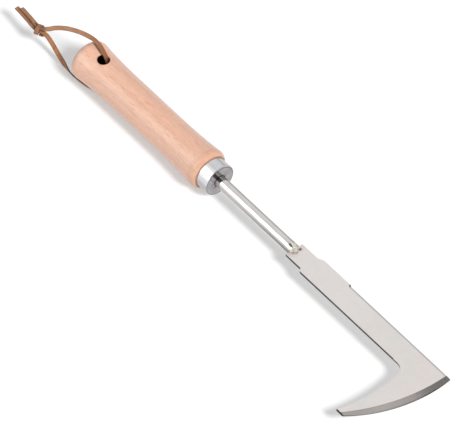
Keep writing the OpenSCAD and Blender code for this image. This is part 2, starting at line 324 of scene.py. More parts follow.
@dataclass(frozen=True)
class Beech(Finish):
    """Turned beech under a thin satin lacquer."""

    pale: Rgb = (0.56, 0.35, 0.255)
    warm: Rgb = (0.508, 0.288, 0.199)
    silver: Rgb = (0.64, 0.423, 0.331)
    fleck: Rgb = (0.35, 0.165, 0.098)
    # The pale colour of the painted sheen and of the painted lift on the flanks.
    worn: Rgb = (0.72, 0.54, 0.46)
    # Painted shading in lengthwise bands, from the side away from the hook to the hook's side:
    # rosier flanks and a darker middle.
    painted_light_bands: tuple[Layer, ...] = (
        Layer((0.82, 0.43, 0.31), 0.20, (-0.0002, -0.0040)),
        Layer((0.82, 0.43, 0.31), 0.14, (0.0050, 0.0095)),
        Layer(fleck, 0.10, (-0.0045, -0.0010), (0.0060, 0.0035)),
    )
    end_grain_and_shade: Rgb = (0.42, 0.22, 0.135)
    scorch: Rgb = (0.1, 0.042, 0.022)
    hole_rim: Rgb = (0.27, 0.13, 0.08)
    painted_hole_shade: Rgb = (0.016, 0.005, 0.002)
    ring_pitch: float = 0.0042
    ring_drift: float = 2.6
    pith: Span = (0.052, -0.030)
    hole_r: float = 0.004
    roughness: float = 0.42
    relief: float = 0.00006

    def sockets(self, bench: Bench) -> dict[str, Any]:
        """Growth rings, ray flecks, pores, painted sheen and shading across the handle, painted
        shade in the cross hole and on the front shoulder, and the scorched joint.

        Args:
            bench: takes the nodes.

        Returns:
            The shader's sockets.
        """
        place = x, y, z = bench.place()
        drift = bench.grain(place, 9.0, 60.0, 3.0)
        blotch = bench.grain(place, 22.0, 130.0, 4.0, 0.6)
        streaks = bench.grain(place, 110.0, 1300.0, 3.0, 0.65)
        rays = bench.grain(place, 330.0, 1500.0, 1.0).rise(0.60, 0.72)
        dashes = bench.grain(place, 150.0, 950.0, 2.0).rise(0.60, 0.72)
        pores = bench.grain(place, 900.0, 6000.0, 1.0).rise(0.60, 0.72)

        ring = (apart(y, z, self.pith) / self.ring_pitch + drift * self.ring_drift).fraction()
        tone = ring.rise(0.0, 0.85) - ring.rise(0.86, 1.0)
        wood = bench.blend(tone * 0.28 + blotch.rise(0.35, 0.68) * 0.45, self.pale, self.warm)
        streaked = (Layer(self.silver, 0.42, (0.54, 0.36)), Layer(self.fleck, 0.34, (0.52, 0.72)))
        wood = bench.lay(streaks, wood, streaked)
        for flecks in (rays * 0.32, dashes * 0.55, pores * 0.14):
            wood = bench.blend(flecks, wood, self.fleck)
        side = lean(y, z)
        # Painted sheen: the soft box's reflection along the hook's side of the top, and paler
        # flanks, painted into the colour.
        sheen = side.rise(0.0006, 0.0034) * side.rise(0.0066, 0.0040) * (streaks * 0.24 + 0.01)
        painted_flank_lift = side.rise(-0.0072, -0.0115) * 0.15 + side.rise(0.0040, 0.0085) * 0.06
        wood = bench.lay(side, bench.blend(sheen + painted_flank_lift, wood, self.worn), self.painted_light_bands)

        # End grain, darker at the front shoulder and a little at the butt; at the shoulder this
        # darkening is also painted shade on the rounding.
        end_grain_and_shade = x.rise(*Station.WOOD_FRONT.span(-0.009, -0.002)) * 0.50
        end_grain_and_shade = end_grain_and_shade + x.rise(*Station.BUTT.span(0.0035, 0.0005)) * 0.08
        wood = bench.blend(end_grain_and_shade, wood, self.end_grain_and_shade)
        joint = x.rise(*Station.WOOD_FRONT.span(-0.00085, -0.0003))
        wood = bench.blend(joint * 0.6, wood, self.scorch)
        # Painted shade in the cross hole: its wall is near black, without coat and nearly metallic
        # so that it shines little. Round the mouth the wood is darker.
        from_hole = apart(x, y, (Station.CROSS_HOLE.value, AXIS_Y)) - self.hole_r
        inside = from_hole.rise(0.00022, 0.00004)
        wood = bench.blend(from_hole.rise(0.0009, 0.0002) * 0.45, wood, self.hole_rim)
        wood = bench.blend(inside * 0.985, wood, self.painted_hole_shade)
        turned = (x * 2600.0 + drift * 3.0).sine() * 0.5 + 0.5
        return {
            "Base Color": wood,
            "Roughness": blotch * 0.10 + rays * -0.05 + self.roughness + inside * 0.4,
            "Normal": bench.bump(turned * 0.20 + pores * -0.5 + rays * 0.25 + 0.6, self.relief),
            "Coat Weight": (1.0 - inside) * (0.40 + streaks * 0.40),
            "Coat Roughness": 0.25,
            "Specular IOR Level": 0.30,
            "Metallic": inside * 0.95,
            "IOR": 1.40,
        }


@dataclass(frozen=True)
class BrightPlate(Finish):
    """Bright plating on the drawn ferrule."""

    base: Rgb = (0.615, 0.61, 0.62)
    stain: Rgb = (0.535, 0.52, 0.54)
    # The face's painted reflection: lighter on the hook's side, darker away from it.
    face_reflection_light: Rgb = (0.6, 0.585, 0.61)
    face_reflection_dark: Rgb = (0.32, 0.31, 0.32)
    radius: float = 0.0113
    # Painted reflections and shade round the side, from 1 at the hook's side to -1 away from it: a
    # white band of the soft box between grey bands, and dark edges.
    painted_light_bands: tuple[Layer, ...] = (
        Layer((0.70, 0.69, 0.71), 0.7, (0.40, 0.56)),
        Layer((0.94, 0.94, 0.94), 1.0, (0.30, 0.36), (0.56, 0.46)),
        Layer((0.80, 0.79, 0.79), 0.9, (0.0, -0.08), (-0.34, -0.24)),
        Layer((0.37, 0.36, 0.37), 0.85, (0.62, 0.88)),
        Layer((0.25, 0.24, 0.24), 0.55, (-0.84, -0.98)),
    )
    # On the face, by distance from the axis: a painted dark line at its rim, painted brown
    # reflections round the root of the shank, and painted shade in the gap round the shank.
    rim: Layer = Layer((0.10, 0.095, 0.09), 0.65, (0.0100, 0.0104), (0.0110, 0.0107))
    painted_root_reflection: Layer = Layer((0.30, 0.20, 0.15), 0.6, (0.0078, 0.0052))
    painted_gap_shade: Layer = Layer((0.030, 0.024, 0.022), 0.85, (0.0049, 0.0043))

    def sockets(self, bench: Bench) -> dict[str, Any]:
        """Faint draw lines, small dull patches, a turned sheen on the face, and painted reflections
        and shade round the side and on the face.

        Args:
            bench: takes the nodes.

        Returns:
            The shader's sockets.
        """
        place = x, y, z = bench.place()
        where = bench.vector(*place)
        patch = bench.cloud(where, 260.0, 3.0).rise(0.42, 0.70)
        spatter = bench.cloud(where, 420.0, 3.0).rise(0.36, 0.62)
        lines = bench.grain(place, 5200.0, 60.0, 1.0)
        from_axis = apart(y, z, (AXIS_Y, AXIS_Z))
        turned = bench.cloud(bench.vector(from_axis * 7000.0, 0.0, 0.0), detail=2.0)
        on_face = x.rise(*Station.FERRULE_FACE.span(-0.0003, -0.0001))
        leaning = lean(y, z) / self.radius

        colour = bench.blend(patch * 0.6, self.base, self.stain)
        colour = bench.lay(leaning, colour, self.painted_light_bands)
        face = bench.blend(leaning.rise(0.5, -0.5), self.face_reflection_light, self.face_reflection_dark)
        colour = bench.blend(on_face, colour, bench.blend(patch * 0.3, face, self.stain))
        for layer, mask in ((self.rim, 1.0), (self.painted_root_reflection, spatter), (self.painted_gap_shade, 1.0)):
            colour = bench.blend(layer.where(from_axis) * mask * on_face, colour, layer.colour)
        return {
            "Base Color": colour,
            "Metallic": 1.0,
            "Roughness": patch * 0.035 + lines * 0.03 + on_face * 0.05 + 0.035,
            "Normal": bench.bump(lines * (1.0 - on_face) + turned * on_face, 0.0000035),
        }


@dataclass(frozen=True)
class DrawnBar(Finish):
    """Polished round bar."""

    base: Rgb = (0.68, 0.66, 0.648)
    dull: Rgb = (0.49, 0.465, 0.47)
    blued: Rgb = (0.55, 0.45, 0.36)
    # Painted dark reflections: along the lower side, stronger towards the weld, and along the upper
    # edge.
    painted_low_reflection: Rgb = (0.13, 0.125, 0.12)
    upper: Layer = Layer((0.20, 0.19, 0.185), 0.68, (-0.72, -0.93))
    # A dark spot on the shank at the edge of the weld.
    dark_spot: Rgb = (0.045, 0.05, 0.038)
    dark_spot_at: Span = (Station.SHANK_END.value - 0.0019, AXIS_Y - 0.0012)
    dark_spot_stretch: float = 1.9
    bar_r: float = 0.004

    def sockets(self, bench: Bench) -> dict[str, Any]:
        """Draw lines, painted dark reflections below and along the upper edge, a dark spot by the
        weld, and heat tint where it was welded.

        Args:
            bench: takes the nodes.

        Returns:
            The shader's sockets.
        """
        x, y, z = bench.place()
        angle = (y - AXIS_Y).bearing(z - AXIS_Z)
        lines = bench.cloud(bench.vector(x * 22.0, angle * 9.0), detail=4.0, rough=0.6)
        patch = bench.cloud(bench.vector(x, y, z), 130.0, 4.0).rise(0.40, 0.72)
        heat = x.rise(*Station.SHANK_END.span(-0.0060, -0.0005))
        colour = bench.blend(lines.rise(0.40, 0.68) * 0.50 + patch * 0.22, self.base, self.dull)
        colour = bench.blend(heat * 0.25, colour, self.blued)
        # Painted dark reflections along the lower side and the upper edge.
        below = lean(y, z) / self.bar_r
        painted_low_reflection = below.rise(0.46, 0.80) * (x.rise(-0.030, 0.028) * 0.42 + 0.38)
        colour = bench.lay(below, bench.blend(painted_low_reflection, colour, self.painted_low_reflection), [self.upper])
        at, stretch = self.dark_spot_at, self.dark_spot_stretch
        dark_spot = apart(x / stretch, y, (at[0] / stretch, at[1])).rise(0.0014, 0.0006)
        colour = bench.blend(dark_spot * z.rise(AXIS_Z, AXIS_Z + 0.001) * 0.85, colour, self.dark_spot)
        return {
            "Base Color": colour,
            "Metallic": 1.0,
            "Roughness": patch * 0.05 + lines * 0.06 + 0.085 + heat * 0.12,
            "Normal": bench.bump(lines, 0.000012),
        }


@dataclass(frozen=True)
class GroundPlate(Finish):
    """Satin plate steel with its ground bevels."""

    base: Rgb = (0.757, 0.722, 0.7)
    pink: Rgb = (0.752, 0.692, 0.676)
    green: Rgb = (0.716, 0.7, 0.668)
    ground: Rgb = (0.52, 0.485, 0.47)
    # Near black: darker grinding marks on the bevel, and painted shade on the upright sides, the
    # edges and in the nick.
    dark_marks_and_shade: Rgb = (0.018, 0.017, 0.016)
    arris: Rgb = (0.33, 0.24, 0.19)
    back: Rgb = (0.42, 0.41, 0.4)
    blued: Rgb = (0.655, 0.56, 0.535)
    # A dark spot on the tang beside the weld.
    dark_spot: Layer = Layer((0.085, 0.080, 0.078), 0.85, (0.0016, 0.0007))
    dark_spot_at: Span = (Station.SHANK_END.value + 0.0024, AXIS_Y + 0.0029)
    # The bevel is a cone round a point in plan; it starts at grind_r and ends at edge_r.
    grind: Span = (0.049, 0.028)
    grind_r: float = 0.122
    edge_r: float = 0.126
    bevel_slope: float = 0.268
    top_z: float = AXIS_Z + 0.00075
    under_z: float = AXIS_Z - 0.00075
    # Long sides of the blade and of its tang, and where those on the hook's side end.
    back_y: float = AXIS_Y + 0.0083
    hook_y: float = AXIS_Y - 0.0088
    hook_end: Span = (0.140, 0.139)
    tang_y: float = AXIS_Y - 0.0068
    tang_end: Span = Station.SHANK_END.span(0.0148, 0.0138)
    # How wide painted shade spreads the dark line of a long side onto the top.
    dark_edge_band_w: Span = (0.00042, 0.00020)
    # The hook's blunt tip, whose rim gets painted shade: the centre of its corner, then the soft
    # steps that find its rim.
    tip: Span = (0.1552, -0.036)
    tip_rim: Span = (0.0014, 0.0017)
    tip_outer: Span = (0.1552, 0.1554)
    tip_low: Span = (-0.0356, -0.0360)
    tip_end_y: Span = (-0.0372, -0.0376)

    def sockets(self, bench: Bench) -> dict[str, Any]:
        """Faint tints, grinding marks across the bevel, and painted shade on the upright sides, the
        edges and the bevel's ends.

        Args:
            bench: takes the nodes.

        Returns:
            The shader's sockets.
        """
        place = x, y, z = bench.place()
        tint = bench.cloud(bench.vector(*place), 55.0, 3.0)
        other = bench.cloud(bench.vector(y + 1.7, x + 3.1, z), 42.0, 3.0)
        satin = bench.cloud(bench.vector(x * 260.0, y * 2600.0, z * 900.0), detail=3.0)
        scratches = bench.vector(x * 1900.0 + y * 900.0, y * 130.0 - x * 60.0)
        scuffs = bench.cloud(scratches, detail=2.0).rise(0.66, 0.80)
        from_grind = apart(x, y, self.grind)
        above = z.rise(self.under_z + 0.00004, self.under_z + 0.0001)
        bevel = from_grind.rise(self.grind_r - 0.00004, self.grind_r + 0.00004) * above
        turn = (y - self.grind[1]).bearing(x - self.grind[0])
        marks = bench.cloud(bench.vector(turn * 900.0, from_grind * 90.0), detail=2.0)
        # Painted shade: the bevel is darker at the heel and towards the tip.
        ends = y.rise(self.grind[1] - 0.024, self.grind[1] - 0.010) * 0.30
        ends = ends + y.rise(-0.012, -0.030) * 0.16

        colour = bench.blend(tint.rise(0.45, 0.66) * 0.8, self.base, self.pink)
        colour = bench.blend(other.rise(0.50, 0.70) * 0.7, colour, self.green)
        colour = bench.blend(satin.rise(0.35, 0.70) * 0.13 + scuffs * 0.10, colour, self.ground)
        cut = bench.blend(marks.rise(0.3, 0.75) * 0.16 + ends, self.ground, self.dark_marks_and_shade)
        colour = bench.blend(bevel, colour, cut)
        near_top = z.rise(self.top_z - 0.0003, self.top_z - 0.0001)
        arris = abs(from_grind - self.grind_r).rise(0.00032, 0.00008) * near_top
        colour = bench.blend(arris * 0.75, colour, self.arris)
        colour, side = self.sides(bench, place, from_grind, bevel, above, colour)
        heat = x.rise(*Station.SHANK_END.span(0.0062, 0.0015))
        colour = bench.blend(heat * (0.35 + tint * 0.5), colour, self.blued)
        colour = bench.lay(apart(x, y, self.dark_spot_at), colour, [self.dark_spot])
        # Painted shade: a dark line along the bevel's outer edge, darker still at the bevel's ends.
        painted_edge_line = from_grind.rise(self.edge_r - 0.00045, self.edge_r - 0.00020) * above
        blade = self.dark_edge_band(x, y, self.hook_y, self.hook_end)
        dark_edge_band = blade.most(self.dark_edge_band(x, y, self.tang_y, self.tang_end))
        for share in (dark_edge_band * 0.8, painted_edge_line * (0.30 + ends), self.tip_edge_shade(x, y) * 0.96):
            colour = bench.blend(share, colour, self.dark_marks_and_shade)
        return {
            "Base Color": colour,
            "Metallic": 1.0,
            "Roughness": 0.30 + satin * 0.08 - bevel * 0.06 + side * 0.15,
            "Normal": bench.bump((satin + scuffs * 0.6) * (1.0 - bevel) + marks * bevel, 0.000006),
        }

    def sides(
        self, bench: Bench, place: Place, from_grind: Val, bevel: Val, above: Val, colour: Val
    ) -> tuple[Val, Val]:
        """Painted shade on the plate's upright sides and in the nick, and the ground back.

        Args:
            bench: takes the nodes.
            place: the surface's place.
            from_grind: distance from the bevel's centre.
            bevel: 1 on the ground bevel.
            above: 1 over the underside.
            colour: the colour so far.

        Returns:
            The new colour, and 1 on the upright sides.
        """
        x, y, z = place
        surface = self.top_z - (from_grind - self.grind_r) * self.bevel_slope
        flank = (surface - z).rise(0.00004, 0.0001) * bevel
        inner = z.rise(self.top_z - 0.00003, self.top_z - 0.00010) * above * (1.0 - bevel)
        past_nick = x.rise(*Station.NICK.span(0.0, 0.0001))
        back = y.rise(self.back_y - 0.0019, self.back_y - 0.0009) * past_nick
        # Painted shade in the nick.
        nick_shade = apart(x, y, (Station.NICK.value, self.back_y)).rise(0.0011, 0.0004)
        side = (inner * (1.0 - back)).most(flank).most(nick_shade * 0.85)
        colour = bench.blend(back * 0.62, colour, self.back)
        return bench.blend(side, colour, self.dark_marks_and_shade), side

    def dark_edge_band(self, x: Val, y: Val, low: float, end: Span) -> Val:
        """1 where painted shade widens the dark line of a long side onto the top, as far as its end
        along the tool.
        """
        return (y - low).rise(*self.dark_edge_band_w) * x.rise(*end)

    def tip_edge_shade(self, x: Val, y: Val) -> Val:
        """1 where shade is painted: on the rim of the hook's blunt tip and on its rounded corner.
        """
        corner = apart(x, y, self.tip).rise(*self.tip_rim) * x.rise(*self.tip_outer)
        return (corner * y.rise(*self.tip_low)).most(y.rise(*self.tip_end_y))


@dataclass(frozen=True)
class WeldMetal(Finish):
    """Straw coloured weld metal with scale in its hollows."""

    straw: Rgb = (0.5, 0.475, 0.415)
    brown: Rgb = (0.46, 0.39, 0.35)
    scale: Rgb = (0.045, 0.038, 0.027)
    burn_at: Span = (Station.SHANK_END.value - 0.0027, AXIS_Y + 0.0021)

    def sockets(self, bench: Bench) -> dict[str, Any]:
        """Bright lumps, dark scale between them.

        Args:
            bench: takes the nodes.

        Returns:
            The shader's sockets.
        """
        x, y, z = bench.place()
        where = bench.vector(x, y, z)
        lumps = bench.cloud(where, 520.0, 3.0)
        shape = bench.node("ShaderNodeNewGeometry").outputs
        hollow = Val(bench, shape["Pointiness"]).rise(0.50, 0.40)
        burn = apart(x, y, self.burn_at).rise(0.0012, 0.0005)
        dark = lumps.rise(0.50, 0.64) * 0.35 + hollow * 0.9 + burn * 0.75
        tone = bench.blend(bench.cloud(where, 900.0, 2.0).rise(0.4, 0.7), self.straw, self.brown)
        return {
            "Base Color": bench.blend(dark, tone, self.scale),
            "Metallic": 0.30,
            "Roughness": lumps * 0.25 + 0.30,
            "Normal": bench.bump(lumps, 0.00012),
        }


@dataclass(frozen=True)
class CutLeather(Finish):
    """Undyed lace leather: a smooth face, a rougher back and darker cut edges."""

    face: Rgb = (0.325, 0.162, 0.074)
    dark: Rgb = (0.2, 0.08, 0.034)
    edge: Rgb = (0.075, 0.027, 0.012)
    # Painted shade, by distance along the strip from the middle of the cross hole: darker towards
    # the hole and inside it.
    hole_shade_layers: tuple[Layer, ...] = (
        Layer((0.27, 0.105, 0.045), 0.5, (0.040, 0.024)),
        Layer((0.17, 0.062, 0.024), 0.75, (0.026, 0.016)),
        Layer((0.07, 0.023, 0.009), 0.9, (0.0155, 0.0110)),
    )

    def sockets(self, bench: Bench) -> dict[str, Any]:
        """Lengthwise fibres, handling marks and dark edges, by the strip's own map.

        Args:
            bench: takes the nodes.

        Returns:
            The shader's sockets.
        """
        along, around = bench.along("strip")
        angle = around * (2.0 * math.pi)
        fibres = bench.cloud(bench.vector(along * 260.0, around * 34.0), detail=3.0, rough=0.6)
        patches = bench.cloud(bench.vector(along * 120.0, around * 3.0), detail=3.0)
        grain = bench.cloud(bench.vector(*bench.place()), 2600.0, 3.0, 0.6)
        worn = fibres.rise(0.34, 0.66) * 0.70 + patches.rise(0.4, 0.7) * 0.3
        back = angle.sine().rise(0.05, -0.25)
        flank = abs((angle + math.pi / 2).sine())
        # Darker cut edges; round the knot's turns they also stand as painted shade in its creases.
        cut = flank.rise(0.50, 0.88) * 0.44 + flank.rise(0.90, 0.985) * 0.45
        colour = bench.blend(worn, self.face, self.dark)
        colour = bench.blend(back * 0.35, colour, self.dark)
        colour = bench.lay(along, bench.blend(cut, colour, self.edge), self.hole_shade_layers)
        return {
            "Base Color": bench.blend(grain.rise(0.45, 0.75) * 0.22, colour, self.edge),
            "Roughness": fibres * 0.15 + back * 0.12 + 0.46,
            "Normal": bench.bump(fibres * 0.6 + grain * 0.4, 0.00014),
            "Specular IOR Level": 0.42,
            "Sheen Weight": 0.15,
        }


@dataclass(frozen=True)
class TableWhite(Finish):
    """White paint that keeps the tool's shadow, with a glow that only what looks at it sees."""

    paint: Rgb = (0.507, 0.507, 0.507)
    glow: float = 0.386

    def shader(self, bench: Bench) -> Socket:
        """Matt paint, lifted for camera, glossy and transmission rays.

        Args:
            bench: takes the nodes.

        Returns:
            The shader.
        """
        paint = bench.node("ShaderNodeBsdfDiffuse", None, {"Color": rgba(self.paint)})
        dark = bench.node("ShaderNodeEmission", None, {"Strength": 0.0}).outputs[0]
        bright = {"Color": WHITE, "Strength": self.glow}
        glow = bench.node("ShaderNodeEmission", None, bright).outputs[0]
        seen = bench.rays("Camera", "Glossy", "Transmission")
        lift = bench.node("ShaderNodeMixShader", None, {0: seen, 1: dark, 2: glow})
        both = bench.node("ShaderNodeAddShader", None, {0: paint.outputs[0], 1: lift.outputs[0]})
        return both.outputs[0]


# ---------------- modelling


def pick(*pieces: Piece) -> None:
    """Selects some pieces alone.

    Args:
        pieces: the pieces; the first becomes the active one.
    """
    bpy.ops.object.select_all(action="DESELECT")
    for piece in pieces:
        piece.select_set(True)
    bpy.context.view_layer.objects.active = pieces[0]


def dress(piece: Piece, material: bpy.types.Material) -> None:
    """Gives a piece one material all over."""
    piece.data.materials.clear()
    piece.data.materials.append(material)


def hand_over(piece: Piece, slot: str, *nodes: str) -> None:
    """Lets a piece ride with the tool and says what it is.

    Args:
        piece: the piece.
        slot: its slot.
        nodes: the solids that it stands for.
    """
    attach(piece, "root")
    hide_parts(*nodes)
    LOG.info("%s: %d faces, slot %s", piece.name, len(piece.data.polygons), slot)


@dataclass
class Strip:
    """A flat strip of leather laid along a smooth route."""

    name: str
    places: list[Vector]
    widths: list[Vector]
    width: float
    thickness: float
    seed: float
    corner: float = 5.0
    around: int = 20
    # The surface's waver: depth, features along and across, and how much the width follows.
    waver: float = 0.00007
    waver_along: float = 420.0
    waver_across: float = 600.0
    waver_width: float = 400.0
    crease: float = math.radians(50.0)

    def section(self) -> list[Span]:
        """The strip's section: a flat oval with rounded corners.

        Returns:
            Places on the section, across the strip and through it.
        """
        shape = []
        for step in range(self.around):
            angle = 2 * math.pi * step / self.around
            c, s = math.cos(angle), math.sin(angle)
            across = 0.5 * self.width * math.copysign(abs(c) ** (2 / self.corner), c)
            through = 0.5 * self.thickness * math.copysign(abs(s) ** (2 / self.corner), s)
            shape.append((across, through))
        return shape

    def rings(self, work: bmesh.types.BMesh) -> tuple[list[list[bmesh.types.BMVert]], list[float]]:
        """Puts the section at every place of the route.

        Args:
            work: the mesh that the corners are added to.

        Returns:
            The corners of each section, and how far along the strip it lies.
        """
        shape = self.section()
        rings, lengths, run = [], [], 0.0
        for i, place in enumerate(self.places):
            ahead = self.places[min(i + 1, len(self.places) - 1)]
            behind = self.places[max(i - 1, 0)]
            heading = (ahead - behind).normalized()
            side = (self.widths[i] - heading * self.widths[i].dot(heading)).normalized()
            up = heading.cross(side)
            run += (place - behind).length if i else 0.0
            lengths.append(run)
            ring = []
            for across, through in shape:
                spot = (run * self.waver_along + self.seed, across * self.waver_across, self.seed)
                wander = self.waver * noise.noise(Vector(spot))
                out = side * (across * (1 + wander * self.waver_width))
                ring.append(work.verts.new(place + out + up * (through + wander)))
            rings.append(ring)
        return rings, lengths

    def skin(self, work: bmesh.types.BMesh) -> None:
        """Joins neighbouring sections with faces, closes both ends and writes the map.

        Args:
            work: the mesh that the faces are added to.
        """
        layer = work.loops.layers.uv.new("strip")
        rings, lengths = self.rings(work)
        for i in range(len(rings) - 1):
            for k in range(self.around):
                corners = ((i, k), (i, k + 1), (i + 1, k + 1), (i + 1, k))
                face = work.faces.new([rings[row][turn % self.around] for row, turn in corners])
                face.smooth = True
                for loop, (row, turn) in zip(face.loops, corners):
                    loop[layer].uv = (lengths[row], turn / self.around)
        for corners, length in ((rings[0], lengths[0]), (rings[-1][::-1], lengths[-1])):
            for loop in work.faces.new(corners).loops:
                loop[layer].uv = (length, 0.0)
        bmesh.ops.recalc_face_normals(work, faces=work.faces)

    def mesh(self) -> Piece:
        """Sweeps the section along the route.

        Returns:
            The closed strip, with a map of its length and girth named strip.
        """
        work = bmesh.new()
        self.skin(work)
        data = bpy.data.meshes.new(self.name)
        work.to_mesh(data)
        work.free()
        piece = bpy.data.objects.new(self.name, data)
        bpy.context.scene.collection.objects.link(piece)
        pick(piece)
        bpy.ops.object.shade_smooth_by_angle(angle=self.crease)
        return piece


def smooth_route(rows: Sequence[Row], centre: Vector, step: float = 0.0007) -> Route:
    """Lays a smooth curve through the rows of a route.

    Args:
        rows: place and width direction of each point, in millimetres from the centre.
        centre: what the rows are counted from, in metres.
        step: greatest distance between two points of the curve, in metres.

    Returns:
        The places along the curve and the width direction at each.
    """
    points = [centre + Vector(row[:3]) * MM for row in rows]
    sides = [Vector(row[3:]).normalized() for row in rows]
    slopes = [(points[1] - points[0]).normalized()]
    for before, here, after in zip(points, points[1:], points[2:]):
        come, go = here - before, after - here
        slopes.append((come.normalized() * go.length + go.normalized() * come.length).normalized())
    slopes.append((points[-1] - points[-2]).normalized())
    places, widths = [points[0]], [sides[0]]
    for i in range(len(points) - 1):
        span = (points[i + 1] - points[i]).length
        count = max(2, math.ceil(span / step))
        for k in range(1, count + 1):
            t = k / count
            h00, h10 = 2 * t**3 - 3 * t**2 + 1, t**3 - 2 * t**2 + t
            h01, h11 = -2 * t**3 + 3 * t**2, t**3 - t**2
            leaving = points[i] * h00 + slopes[i] * (span * h10)
            places.append(leaving + points[i + 1] * h01 + slopes[i + 1] * (span * h11))
            widths.append(sides[i].lerp(sides[i + 1], h01).normalized())
    return places, widths


@dataclass(frozen=True)
class Strand:
    """Half of the lace, from the middle of the cross hole through its mouth to the cut end."""

    name: str
    nodes: tuple[str, ...]
    inside: tuple[Row, ...]
    mouth: Row
    outside: tuple[Row, ...]
    seed: float


@dataclass
class HangingLoop:
    """Leather lace through the cross hole, knotted behind the butt.

    Rows are millimetres from the middle of the cross hole, then the direction of the lace's width.
    """

    centre: Vector = field(default_factory=Station.CROSS_HOLE.point)
    lace_w: float = 0.003
    lace_t: float = 0.001
    top_mouth: Row = (1.2, 2.2, 9.5, 0.3, -1, 0)
    bottom_mouth: Row = (1.4, 1.1, -8.5, 0.9, -0.5, 0)
    bore: tuple[Row, ...] = (
        (1.8, 2.1, 5, 0.5, -0.9, 0),
        (2, 2, 0, 0.7, -0.7, 0),
        (1.6, 1.6, -5, 0.8, -0.6, 0),
    )
    upper: tuple[Row, ...] = (
        (-0.6, 2.4, 12.8, 0.1, -1, 0),
        (-3.6, 2.8, 14.8, 0, -1, 0),
        (-7.8, 3.7, 15.8, 0, -1, 0),
        (-13.4, 4.2, 15.9, 0, -1, 0.1),
        (-20.6, 3.4, 15, 0.2, -0.9, -0.4),
        (-29.8, 1.6, 12.6, 0.4, -0.7, -0.6),
        (-38.6, -1.2, 9.2, 0.5, -0.6, -0.6),
        (-44, -4.1, 6.6, 0.5, -0.6, -0.6),
        (-47.6, -6.8, 4.3, 0.4, -0.8, -0.4),
        (-50.4, -8.5, 3.1, 0.1, -1, -0.1),
        (-53, -9.3, 2.6, 0, -1, 0.1),
        (-56.5, -9.1, 2.7, 0, -1, 0.2),
        (-61, -8.6, 2.9, 0, -1, 0.3),
        (-67, -8, 2.8, 0, -1, 0.3),
        (-72.6, -7.5, 2.5, 0, -1, 0.2),
    )
    lower: tuple[Row, ...] = (
        (1.3, -0.3, -11.3, 0.9, -0.5, 0),
        (1.1, -1.8, -12.7, 0.9, -0.5, 0),
        (0.5, -3.8, -13.3, 0.9, -0.5, 0),
        (-1.4, -6.2, -12.9, 0.7, -0.7, 0.4),
        (-4.8, -8.2, -12.5, 0.2, -0.5, 0.8),
        (-9.4, -9.2, -12.3, 0.1, -0.5, 0.9),
        (-15.4, -9.8, -12.1, 0.1, -0.5, 0.9),
        (-21, -10, -11.6, 0.1, -0.4, 0.9),
        (-25, -9.6, -10.9, 0, 0, 1),
        (-28.6, -9.2, -10, 0, 0.6, 0.8),
        (-32.6, -8.7, -8.6, 0, 0.8, 0.5),
        (-38, -8.1, -6, 0, 0.9, 0.4),
        (-43, -7.8, -3, 0, 1, 0.2),
        (-47.2, -8.2, -0.3, 0, 1, 0.1),
        (-50.4, -9.3, 0.9, 0, 1, 0),
        (-53, -10.4, 1.2, 0, 1, 0),
        (-56.8, -10.8, 1.4, 0, 1, 0),
        (-62, -10.3, 1.6, 0, 1, 0),
        (-69, -9.6, 1.6, 0, 1, 0.1),
        (-75.9, -9, 1.3, 0, 1, 0.1),
    )
    knot_face: Rgb = (0.25, 0.108, 0.05)
    knot_dark: Rgb = (0.12, 0.046, 0.02)
    # The knot, in millimetres and degrees: it turns about the strands' heading.
    knot_centre: tuple[float, float, float] = (-52.4, -10, 1.8)
    knot_heading: float = 26.0
    knot_half_y: float = 3.2
    knot_half_z: float = 3.0
    knot_turn: float = 560.0
    knot_start: float = 200.0
    knot_pitch: float = 3.6
    knot_steps: int = 90
    knot_grip: float = 0.10

    def build(self) -> None:
        leather = CutLeather("cut_leather").material()
        knot = self.wrap()
        worn = CutLeather("knot_leather", self.knot_face, self.knot_dark, hole_shade_layers=())
        dress(knot, worn.material())
        hand_over(knot, "lace_leather", "lace_knot")
        above, middle, below = self.bore
        upper = ("lace_upper", "lace_bore"), (middle, above), self.top_mouth, self.upper
        lower = ("lace_lower",), (middle, below), self.bottom_mouth, self.lower
        self.lay(Strand("lace_upper_strand", *upper, seed=3.0), leather, [knot])
        self.lay(Strand("lace_lower_strand", *lower, seed=10.0), leather, [])

    def lay(self, strand: Strand, leather: bpy.types.Material, held: Sequence[Piece]) -> None:
        """Args:
            strand: the strand.
            leather: its material.
            held: not used.
        """
        rows = (*strand.inside, strand.mouth, *strand.outside)
        places, widths = smooth_route(rows, self.centre)
        piece = Strip(strand.name, places, widths, self.lace_w, self.lace_t, strand.seed).mesh()
        dress(piece, leather)
        hand_over(piece, "lace_leather", *strand.nodes)
        length = sum((b - a).length for a, b in zip(places, places[1:]))
        LOG.info("%s: %.1f mm", strand.name, length / MM)

    def wrap(self) -> Piece:
        """Winds the lace's own band round both strands.

        Returns:
            The knot.
        """
        turn = Matrix.Rotation(math.radians(self.knot_heading), 3, "Z")
        places, widths = [], []
        for step in range(self.knot_steps + 1):
            turned = self.knot_turn * step / self.knot_steps
            angle = math.radians(self.knot_start + turned)
            grip = 1.0 - self.knot_grip * math.cos(2 * angle)
            ahead = self.knot_pitch * (0.5 * self.knot_turn - turned) / 360.0
            across = self.knot_half_y * grip * math.cos(angle)
            up = self.knot_half_z * grip * math.sin(angle)
            offset = turn @ Vector((ahead, across, up))
            places.append(self.centre + (Vector(self.knot_centre) + offset) * MM)
            widths.append(turn @ Vector((1.0, 0.0, 0.0)))
        return Strip("lace_knot_wrap", places, widths, self.lace_w, self.lace_t, seed=23.0).mesh()


